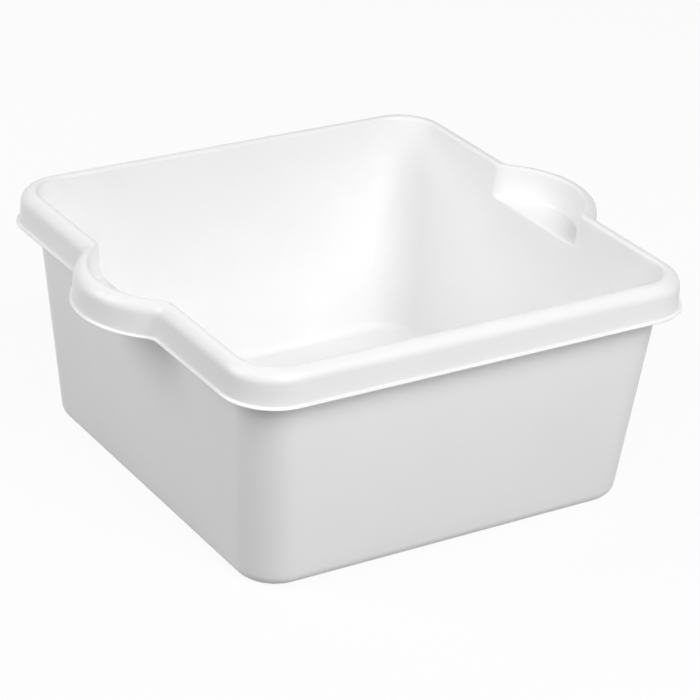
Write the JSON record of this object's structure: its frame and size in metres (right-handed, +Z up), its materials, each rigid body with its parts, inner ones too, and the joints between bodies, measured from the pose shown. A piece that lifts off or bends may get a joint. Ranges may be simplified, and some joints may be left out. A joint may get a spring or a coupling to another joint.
{
  "type": "washing-up basin",
  "caption": "Nearly square tapered plastic basin with a turned-down rim, a rounded grip with a finger pocket at each end, and a recessed base.",
  "frame": {"origin": "middle of the standing face, on the surface the basin stands on", "axes": "+Z up; X runs through both grips; Y runs along the plain sides' outward direction"},
  "size_m": [0.3546, 0.3118, 0.15],
  "materials": {
    "white_polypropylene": "satin, fine-grained white polypropylene"
  },
  "bodies": {
    "root": {"basin": "white_polypropylene"}
  },
  "joints": []
}
